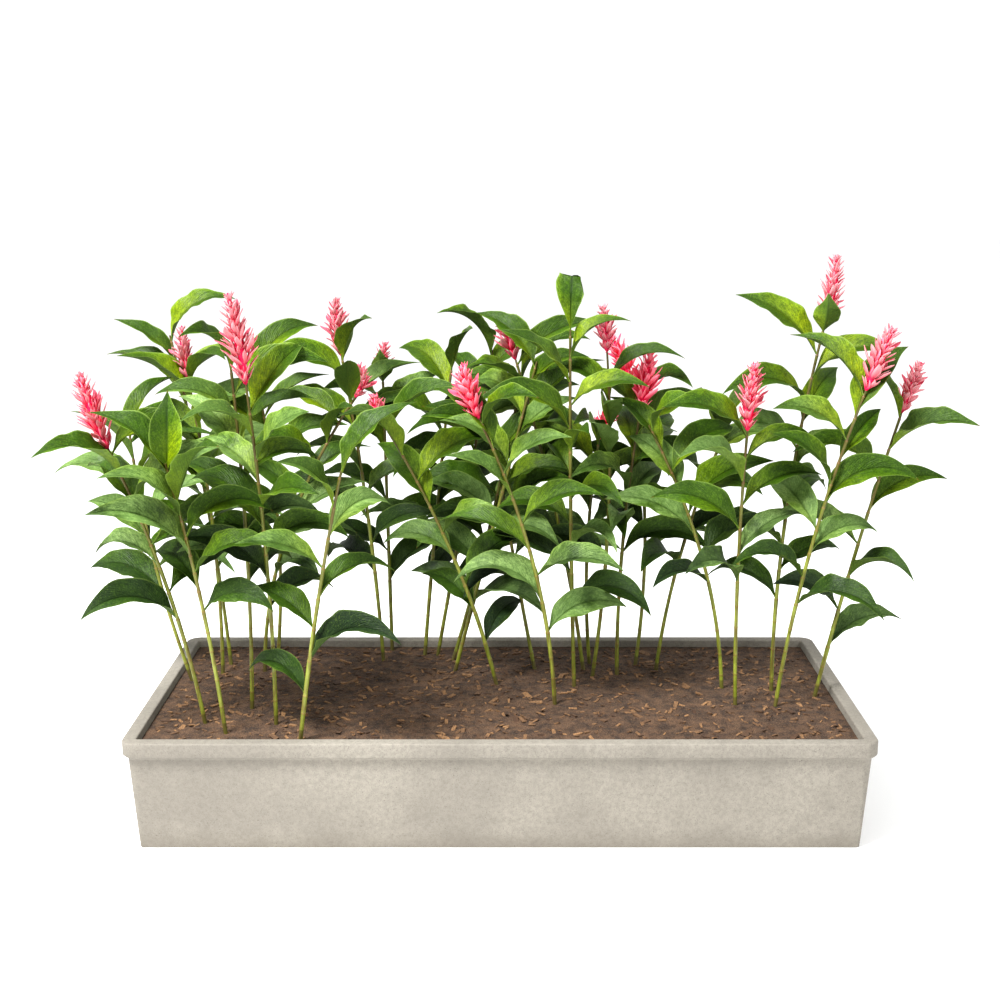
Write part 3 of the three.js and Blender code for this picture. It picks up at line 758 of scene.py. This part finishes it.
def blade_rings(shape, cane, index):
    """Closed rings round a folded blade with a rib and waved edges, and their marks."""
    shares = np.linspace(0, 1, BLADE.stations) ** BLADE.closer_at_root
    columns = np.array(BLADE_COLUMNS, float)
    outward = np.abs(columns)
    if not shape["young"]:
        shape = dict(shape, length=shape["length"] * BLADE.drawn_out)
    cut = np.zeros(1)
    end = 1
    if shape["blunt"]:
        cut = np.interp(columns, *zip(*BLUNT_EDGE)) * smooth(BLUNT.cut_from, 1, shares)[:, None]
        end = BLUNT.end
    place, across, up = leaf_frames(shape, shares * end)
    half = blade_half(shape, shares)
    flatter = 1 - BLADE.flatter_tip * smooth(BLADE.flatter_from, 1, shares)
    fold = np.radians(mix(*BLADE.fold, draw(cane, index, "fold")) * flatter)[:, None]
    lift = half * np.sin(fold) * outward ** BLADE.fold_curve
    lift = lift + edge_waves(cane, index, half, shares, columns)
    reach = half * np.cos(fold) * columns
    stout = smooth(BLADE.stout_until, 0, shares)[:, None]
    skin = mix(*BLADE.skin, outward) + BLADE.stout_skin * stout
    rib = np.exp(-((columns * half / RIB.half) ** 2)) * mix(*RIB.depth, shares[:, None])
    centre = moved(place[:, None], across, reach)
    centre = moved(centre, leaf_directions(shape, shares) * shape["length"], cut)
    above = moved(centre, up, lift + skin - RIB.groove * rib)
    below = moved(centre, up, lift - skin - rib)
    return closed_blade(above, below, columns, shares)


# Fine stems: sizes in millimetres, and gaps between bare joints in shares of their pitch
STEM = Sizes(
    sides=12, step=14.0, foot_radius=6.6, top_radius=3.3, taper=1.2, end=0.8,
    joint_half=3.2, joint_swell=0.55, joint_rings=(-9, -5, -3, -1.2, 0.4, 2, 5),
    bare_pitch=78, first_gap=(0.7, 1.1), next_gap=(0.75, 1.25), lowest_joint=25,
    lowest_sheath=90, sheath_swell=0.9, sheath_curve=1.5, sheath_skin=0.3,
)
STEM_FOOT = (CANE.straight + CANE.buried, CANE.straight + 6, 6)


def round_rings(points, directions, radius, sides):
    angles = np.arange(sides) * FULL_TURN / sides
    out = round_about(directions[:, None], np.broadcast_to(angles, (len(points), sides)))
    return points[:, None] + out * radius[:, None, None]


def stem_joints(row, cane, leafy):
    """Heights of a stem's joints: one at each leaf, and others down the bare part."""
    joints = list(leafy)
    gap = mix(*STEM.first_gap, draw(cane, 0, "first_joint"))
    down = row.bare - STEM.bare_pitch * gap
    while down > STEM.lowest_joint:
        joints.append(down)
        gap = mix(*STEM.next_gap, draw(cane, int(down), "next_joint"))
        down -= STEM.bare_pitch * gap
    return np.array(sorted(joints))


def sheath_shares(heights, leafy):
    """How far up a leaf's sheath each height lies, from 0 to 1."""
    sheath = np.zeros_like(heights)
    for low, high in zip(np.append(leafy[0] - STEM.lowest_sheath, leafy[:-1]), leafy):
        inside = (heights > low) & (heights <= high)
        sheath[inside] = (heights[inside] - low) / (high - low)
    return sheath


def stem_rings(row, cane, leaf_shares):
    """Rings up a stem with swollen joints, and sheaths that widen up to each leaf, and their marks."""
    height = row.height
    first = CANE.straight / height
    leafy = np.array(sorted(share * height for share in leaf_shares))
    joints = stem_joints(row, cane, leafy)
    near = np.concatenate([joints + away for away in STEM.joint_rings]) / height
    near = near[(near > first) & (near < 1)]
    even = np.linspace(first, 1, int(height / STEM.step))
    shares = np.unique(np.append(even, near))
    heights = shares * height
    gap = np.abs(heights[:, None] - joints[None]).min(axis=1)
    joint = np.exp(-((gap / STEM.joint_half) ** 2))
    sheath = sheath_shares(heights, leafy)
    radius = mix(STEM.foot_radius, STEM.top_radius, shares ** STEM.taper)
    radius = radius + STEM.joint_swell * joint + STEM.sheath_swell * sheath ** STEM.sheath_curve
    radius = radius + STEM.sheath_skin * (sheath > 0)
    radius[-1] *= STEM.end

    # Straight foot below, into the soil
    count = len(STEM_FOOT)
    base, upward = cane_points(row, np.array(first))
    points, directions = cane_points(row, shares)
    points = np.concatenate([base - upward * np.array(STEM_FOOT)[:, None], points])
    directions = np.concatenate([np.broadcast_to(upward, (count, 3)), directions])
    radius = np.append(np.full(count, STEM.foot_radius), radius)
    marks = np.concatenate([np.zeros((count, 3)), np.stack([joint, shares, sheath], axis=-1)])
    rings = round_rings(points, directions, radius, STEM.sides)
    return rings, marks[:, None]


# Fine bracts: sizes in millimetres, turns in radians, and the rest in shares of a bract or head
BRACT = Sizes(
    stations=9, closer_at_tip=1.3, turn=0.5, reach=(0.84, 1.08), rise=(1.25, 1.0),
    tip_higher=7, steep_below=0.35, sunk=10, raised=0.1, root=0.3,
    belly=(0.04, 0.13), sideways=0.2, twist=1.6, snake=0.1, curl=(-0.03, 0.12),
    curl_from=0.6, widening=(-0.25, 0.5), full_until=0.58, point=0.42, point_curve=0.8,
    plump=(0.148, 0.106), head_lengths=(150, 260), plump_luck=(0.85, 1.15),
    least_widest=4.0, least_half=0.6, cup=0.6, cup_curve=1.6, skin=(0.7, 0.3),
)
BRACT_COLUMNS = (1, 0.42, -0.42, -1)

# A second, shorter bract between each two
INNER = Sizes(first_item=500, reach=(0.36, 0.6), rise=(0.8, 1.05), sunk=6, plump=0.75, paleness=0.4)
CORE = Sizes(rings=14, sides=12, top=0.93, slimmer=0.9, least_radius=0.8)


def bract_ends(row, level, stretch, inner, luck, centre, direction, out):
    """A bract's root inside the core, and its tip, which is near that of the part's own bract."""
    slant = math.radians(mix(*HEAD.slant, level))
    reach = row.head[1] / 2 * bract_reach(level) * stretch * mix(*BRACT.reach, level)
    core = core_radius(row, HEAD.top_ring * level)
    rise = (reach - core) / math.tan(slant) * mix(*BRACT.rise, level)
    if inner:
        reach *= mix(*INNER.reach, luck("inner_reach"))
        rise *= mix(*INNER.rise, luck("inner_rise"))
    higher = mix(0, BRACT.tip_higher, luck("tip")) * (1 - level)
    tip = centre + out * reach + direction * (rise + higher)
    steep = 1 - smooth(0, BRACT.steep_below, level)
    sunk = mix(-BRACT.raised * rise, BRACT.sunk, steep) + (INNER.sunk if inner else 0)
    root = centre + out * core * BRACT.root - direction * sunk
    return root, tip


def bract_half(row, size, inner, luck, t):
    """Half widths along a bract, plumper for its length on a short head."""
    narrowing = np.clip((t - BRACT.full_until) / BRACT.point, 0, 1)
    profile = smooth(*BRACT.widening, t) * (1 - narrowing ** 2) ** BRACT.point_curve
    plump = mix(*BRACT.plump, smooth(*BRACT.head_lengths, row.head[0]))
    plump *= mix(*BRACT.plump_luck, luck("plump"))
    plump *= INNER.plump if inner else 1
    widest = max(plump * size, BRACT.least_widest)
    return np.maximum(widest * profile, BRACT.least_half)[:, None]


def bract_rings(row, cane, level, angle, item, inner):
    """Closed rings round a pointed bract with a bow, a twist and a curl, and their marks."""
    own = item + (INNER.first_item if inner else 0)

    def luck(purpose):
        return draw(cane, own, purpose)

    centre, direction = head_points(row, HEAD.top_ring * level)
    out = round_about(direction, np.array(angle + (luck("turn") - 0.5) * BRACT.turn))
    stretch = 1 + (draw(cane, item, "bract_sway") - 0.5) * 2 * HEAD.sway
    root, tip = bract_ends(row, level, stretch, inner, luck, centre, direction, out)
    line = tip - root
    size = np.linalg.norm(line)
    side = unit(np.cross(direction, out))
    back = unit(np.cross(side, line))
    if back @ out < 0:
        back = -back

    # Middle line
    belly = mix(*BRACT.belly, luck("belly")) * size
    sideways = (luck("sideways") - 0.5) * BRACT.sideways * size
    twist = (luck("twist") - 0.5) * BRACT.twist
    t = 1 - (1 - np.linspace(0, 1, BRACT.stations)) ** BRACT.closer_at_tip
    bow = (4 * t * (1 - t))[:, None]
    snake = (np.sin(FULL_TURN * t) * (luck("snake") - 0.5) * BRACT.snake * size)[:, None]
    curl = (smooth(BRACT.curl_from, 1, t) * mix(*BRACT.curl, luck("curl")) * size)[:, None]
    middle = root + line * t[:, None] + back * (belly * bow + curl) + side * (sideways * bow + snake)

    # Two cupped faces about it
    half = bract_half(row, size, inner, luck, t)
    columns = np.array(BRACT_COLUMNS)
    outward = np.abs(columns)
    wide, deep = turned(side, back, twist * t[:, None])
    cup = -BRACT.cup * half * outward ** BRACT.cup_curve
    skin = mix(*BRACT.skin, outward)
    flat = moved(middle[:, None], wide, half * columns)
    outside = moved(flat, deep, cup + skin)
    inside = moved(flat, deep, cup - skin)
    rings, marks = closed_blade(outside, inside, columns, t)
    if np.dot(np.cross(side, back), line) < 0:
        return rings[:, ::-1], marks[:, ::-1]
    return rings, marks


def core_rings(row):
    shares = np.linspace(0, CORE.top, CORE.rings)
    points, directions = head_points(row, shares)
    radius = np.maximum(core_radius(row, shares) * CORE.slimmer, CORE.least_radius)
    return round_rings(points, directions, radius, CORE.sides)


# Fine planter: sizes in millimetres
CAST = Sizes(
    corner_steps=12, edge_points=6, outside_heights=(60, 150, 240), inside_heights=(250, 120),
    below_band=3, soft=0.8, soft_below=1, soft_above=1.5, floor_fillet=(6, 8),
)
DRILL = Sizes(sides=32, length=100)

# Signs of x and y at each corner of the trough, and the angle where its arc starts
TROUGH_CORNERS = ((1, 1, 0), (-1, 1, 90), (-1, -1, 180), (1, -1, 270))


def trough_ring(inset, z):
    half_x = PLANTER.half_length - inset
    half_y = PLANTER.half_width - inset
    radius = max(PLANTER.corner_radius - inset, PLANTER.least_radius)
    ring = []
    for side_x, side_y, start in TROUGH_CORNERS:
        for step in range(CAST.corner_steps + 1):
            angle = math.radians(start + 90 * step / CAST.corner_steps)
            x = side_x * (half_x - radius) + radius * math.cos(angle)
            y = side_y * (half_y - radius) + radius * math.sin(angle)
            ring.append((x, y, z))
    return ring


def wall_inset(z):
    """How far the outer wall lies inside the rim at a height."""
    return PLANTER.band_depth + PLANTER.taper * (1 - z / PLANTER.height)


def planter_profile():
    """Insets and heights from the foot up the outside, over the rim and down the inside."""
    height = PLANTER.height
    edge = PLANTER.edge_round
    depth = PLANTER.band_depth
    band = height - PLANTER.band_height
    inner = depth + PLANTER.wall
    fillet_in, fillet_up = CAST.floor_fillet
    arcs = np.radians(np.linspace(0, 90, CAST.edge_points))
    profile = [(wall_inset(0) + edge * (1 - math.sin(a)), edge * (1 - math.cos(a))) for a in arcs]
    profile += [(wall_inset(z), z) for z in (*CAST.outside_heights, band - CAST.below_band)]
    profile += [
        (wall_inset(band) - CAST.soft, band),
        (depth * 0.5, band + depth * 0.5),
        (CAST.soft, band + depth - CAST.soft_below),
        (0, band + depth + CAST.soft_above),
        (0, height - edge - 1),
    ]
    profile += [(edge * (1 - math.cos(a)), height - edge + edge * math.sin(a)) for a in arcs]
    profile += [(inner - edge + edge * math.sin(a), height - edge + edge * math.cos(a)) for a in arcs]
    inside = (*CAST.inside_heights, PLANTER.floor + fillet_up)
    profile += [(wall_inset(z) + PLANTER.wall, z) for z in inside]
    profile += [(wall_inset(PLANTER.floor) + PLANTER.wall + fillet_in, PLANTER.floor)]
    return profile


def drain_cutters():
    cutters = []
    for side in (-1, 1):
        for i in range(DRAIN.per_row):
            x = (i - (DRAIN.per_row - 1) / 2) * DRAIN.spacing * MM
            bpy.ops.mesh.primitive_cylinder_add(
                vertices=DRILL.sides, radius=DRAIN.radius * MM, depth=DRILL.length * MM,
                location=(x, side * DRAIN.row * MM, 0.0),
            )
            cutters.append(bpy.context.object)
    return cutters


def planter_piece(material):
    body = Body()
    body.loft(np.array([trough_ring(inset, z) for inset, z in planter_profile()]), 0.0, 0.0)
    made = body.piece("cast_planter", [material], sharp=40)
    cutters = drain_cutters()
    for cutter in cutters:
        hole = made.modifiers.new("drain", "BOOLEAN")
        hole.operation = "DIFFERENCE"
        hole.solver = "EXACT"
        hole.object = cutter
    bpy.context.view_layer.update()
    cut = bpy.data.meshes.new_from_object(made.evaluated_get(bpy.context.evaluated_depsgraph_get()))
    made.modifiers.clear()
    made.data = cut
    cut.name = "cast_planter"
    for cutter in cutters:
        bpy.data.objects.remove(cutter)
    return made


# Fine soil: heights in millimetres, and noise scales per millimetre or as multiples of that
GROUND = Sizes(
    columns=300, rows=130, settled=2, spot=0.012, lumps=3.2, lump_layers=(1.0, 2.1, 4),
    clod_scale=5.0, clod_from=0.12, clods=9.0, crumb_scale=13.0, crumbs=1.5, calm_edge=0.35,
    edge_width=60, from_wall=0.6, foot_inset=6,
)


def soil_height(x, y, half_x, half_y):
    """Height of the soil's surface, with its lumps and crumbs."""
    inward = min(half_x - abs(x), half_y - abs(y))
    crown = SOIL.crown * float(smooth(0, 2 * SOIL.shoulder, inward))
    spot = Vector((x * GROUND.spot, y * GROUND.spot, 0.0))
    lumps = noise.fractal(spot, *GROUND.lump_layers) * GROUND.lumps
    clods = max(0.0, noise.noise(spot * GROUND.clod_scale) - GROUND.clod_from) * GROUND.clods
    crumbs = noise.noise(spot * GROUND.crumb_scale) * GROUND.crumbs
    calmer = min(1.0, GROUND.calm_edge + inward / GROUND.edge_width)
    return SOIL_Z - GROUND.settled + crown + (lumps + clods + crumbs) * calmer


def soil_outline():
    edge = PLANTER.wall + SOIL.gap + GROUND.from_wall
    inset = wall_inset(SOIL_Z)
    return PLANTER.half_length - inset - edge, PLANTER.half_width - inset - edge


def soil_point(i, j, half_x, half_y):
    """A point of the soil's surface, kept inside its rounded corners."""
    radius = PLANTER.least_radius
    x = mix(-half_x, half_x, i / (GROUND.columns - 1))
    y = mix(-half_y, half_y, j / (GROUND.rows - 1))
    over_x = abs(x) - (half_x - radius)
    over_y = abs(y) - (half_y - radius)
    over = math.hypot(over_x, over_y)
    if min(over_x, over_y) > 0 and over > radius:
        shrink = radius / over
        x = math.copysign(half_x - radius + over_x * shrink, x)
        y = math.copysign(half_y - radius + over_y * shrink, y)
    return x, y, soil_height(x, y, half_x, half_y)


def soil_piece(material):
    half_x, half_y = soil_outline()
    last_i = GROUND.columns - 1
    last_j = GROUND.rows - 1

    def at(i, j):
        return j * GROUND.columns + i

    points = [soil_point(i, j, half_x, half_y) for j in range(last_j + 1) for i in range(last_i + 1)]
    faces = [
        [at(i, j), at(i + 1, j), at(i + 1, j + 1), at(i, j + 1)]
        for j in range(last_j) for i in range(last_i)
    ]
    rim = [at(i, 0) for i in range(last_i + 1)]
    rim += [at(last_i, j) for j in range(1, last_j + 1)]
    rim += [at(i, last_j) for i in range(last_i - 1, -1, -1)]
    rim += [at(0, j) for j in range(last_j - 1, 0, -1)]
    bottom = PLANTER.floor + SOIL.gap
    narrowing = wall_inset(bottom) - wall_inset(SOIL_Z) + GROUND.foot_inset
    first = len(points)
    for corner in rim:
        x, y, _ = points[corner]
        points.append((x * (1 - narrowing / half_x), y * (1 - narrowing / half_y), bottom))
    for k in range(len(rim)):
        after = (k + 1) % len(rim)
        faces.append([rim[k], first + k, first + after, rim[after]])
    faces.append([first + k for k in range(len(rim) - 1, -1, -1)])
    body = Body()
    body.add(np.array(points), faces, 0.0, 0.0)
    return body.piece("potting_mix", [material], sharp=60)


# Bark chips: sizes in millimetres, tilt in radians
CHIP = Sizes(
    count=1300, seed=20, from_edge=25, length_spread=(5.0, 1.5), least_length=3,
    width=(0.25, 0.5), thickness=(0.9, 2.2), uneven=0.14, tilt=0.22, raised=0.8,
)
SQUARE = ((-1, -1), (1, -1), (1, 1), (-1, 1))
BLOCK_CORNERS = [(x, y, z) for z in (-1, 1) for x, y in SQUARE]
BLOCK_FACES = ((3, 2, 1, 0), (4, 5, 6, 7), (0, 1, 5, 4), (1, 2, 6, 5), (2, 3, 7, 6), (3, 0, 4, 7))


def chips_piece(material):
    """Bark chips strewn over the soil, half sunk in it."""
    half_x, half_y = soil_outline()
    rng = np.random.default_rng(CHIP.seed)
    corners = np.array(BLOCK_CORNERS, float)
    body = Body()
    for _ in range(CHIP.count):
        x = rng.uniform(-half_x + CHIP.from_edge, half_x - CHIP.from_edge)
        y = rng.uniform(-half_y + CHIP.from_edge, half_y - CHIP.from_edge)
        length = rng.gamma(*CHIP.length_spread) + CHIP.least_length
        width = length * rng.uniform(*CHIP.width)
        size = np.array([length, width, rng.uniform(*CHIP.thickness)])
        shape = corners * size + rng.normal(0, CHIP.uneven, corners.shape) * size
        turn = rng.uniform(0, FULL_TURN)
        tilt = rng.normal(0, CHIP.tilt)
        shape = shape @ np.array([
            (math.cos(tilt), 0, math.sin(tilt)), (0, 1, 0), (-math.sin(tilt), 0, math.cos(tilt)),
        ])
        shape = shape @ np.array([
            (math.cos(turn), math.sin(turn), 0), (-math.sin(turn), math.cos(turn), 0), (0, 0, 1),
        ])
        ground = soil_height(x, y, half_x, half_y) + CHIP.raised
        body.add(shape + (x, y, ground), BLOCK_FACES, 0.0, (0.0, rng.uniform(), 0.0))
    return body.piece("bark_chips", [material], sharp=30)


# For a leaf's colour: the height in millimetres that counts as level 1, and a young leaf's level
LEVEL_HEIGHT = 1200
YOUNG_LEVEL = 1.05


def cane_piece(row, number, materials):
    """A cane's stem and all the leaves that the part found room for."""
    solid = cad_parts[f"cane_{number:02d}"].data
    corners = np.empty(len(solid.vertices) * 3, np.float32)
    solid.vertices.foreach_get("co", corners)
    leaves = []
    for index in range(row.leaves):
        shape = grown_leaf(free_leaf(row, number, index), corners.reshape(-1, 3) / MM)
        if shape:
            leaves.append((index, shape))
    body = Body()
    rings, marks = stem_rings(row, number, [shape["share"] for _, shape in leaves])
    body.loft(rings, marks, (0.0, draw(number, 0, "stem_luck"), 0.0), slot=1)
    for index, shape in leaves:
        rings, marks = blade_rings(shape, number, index)
        height = (shape["root"][2] - SOIL_Z) / LEVEL_HEIGHT
        level = YOUNG_LEVEL if shape["young"] else mix(height, shape["level"], 0.5)
        luck = draw(number, index, "leaf_luck")
        body.loft(rings, marks, (level, luck, float(shape["young"])))
    return body.piece(f"leafy_cane_{number:02d}", materials)


def head_piece(row, number, material):
    """A flower head: rings of bracts round a core, with a shorter bract between each two."""
    rings = int(row.head[0] * HEAD.top_ring / HEAD.ring_pitch + 0.5)
    cell = FULL_TURN / HEAD.sides
    body = Body()
    body.loft(core_rings(row), marks=(0.0, 0.1, 0.5), lives=(0.0, 0.5, 0.0))
    for ring in range(rings):
        for i in range(HEAD.sides):
            level = (ring + 0.5) / rings
            item = ring * HEAD.sides + i
            angle = (i + ring / 2 + HEAD.turn) * cell
            for inner in (False, True):
                between = cell / 2 if inner else 0
                shape, marks = bract_rings(row, number, level, angle + between, item, inner)
                luck = draw(number, item, "inner_luck" if inner else "bract_luck")
                paleness = PALENESS[number] * (INNER.paleness if inner else 1)
                body.loft(shape, marks, (level, luck, paleness))
    return body.piece(f"bloom_{number:02d}", [material])


def finished(piece, slot, *nodes):
    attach(piece, "root")
    if nodes:
        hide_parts(*nodes)


rows = [Sizes(**dict(zip(ROW_NAMES, values))) for values in ROWS]
leaf_and_stem = [leaf_material(), stem_material()]
pink = bract_material()
for number, row in enumerate(rows, 1):
    finished(cane_piece(row, number, leaf_and_stem), "cane_and_leaf", f"cane_{number:02d}")
    if row.head:
        finished(head_piece(row, number, pink), "pink_bract", f"head_{number:02d}")
finished(planter_piece(planter_material()), "fibre_cement", "planter")
finished(soil_piece(soil_material()), "potting_soil", "soil")
finished(chips_piece(chip_material()), "potting_soil")

# Floor, light and camera
bpy.ops.mesh.primitive_plane_add(size=FLOOR_SIZE)
floor = bpy.context.object
floor.name = "floor"
pale = Paint("pale_floor", Roughness=0.9, Base_Color=linear(*FLOOR_LEVELS))
floor.data.materials.append(pale.material)

world = bpy.data.worlds.new("studio")
world.use_nodes = True
sky = world.node_tree.nodes["Background"].inputs
sky["Color"].default_value = SKY_COLOUR
sky["Strength"].default_value = SKY_STRENGTH
scene.world = world

for name, place, target, size, power in LAMPS:
    light = bpy.data.lights.new(name, "AREA")
    light.shape = "DISK"
    light.size = size
    light.energy = power
    lamp = placed(name, light)
    lamp.location = place
    lamp.rotation_euler = (Vector(target) - Vector(place)).to_track_quat("-Z", "Y").to_euler()

camera = placed("camera", bpy.data.cameras.new("camera"))
camera.data.sensor_width = SENSOR
camera.data.lens = LENS
camera.data.clip_end = FAR
camera.location = EYE
camera.rotation_euler = (math.radians(90 - LOOK_DOWN), 0, 0)
scene.camera = camera
scene.view_settings.view_transform = "Standard"
scene.view_settings.look = "Medium High Contrast"
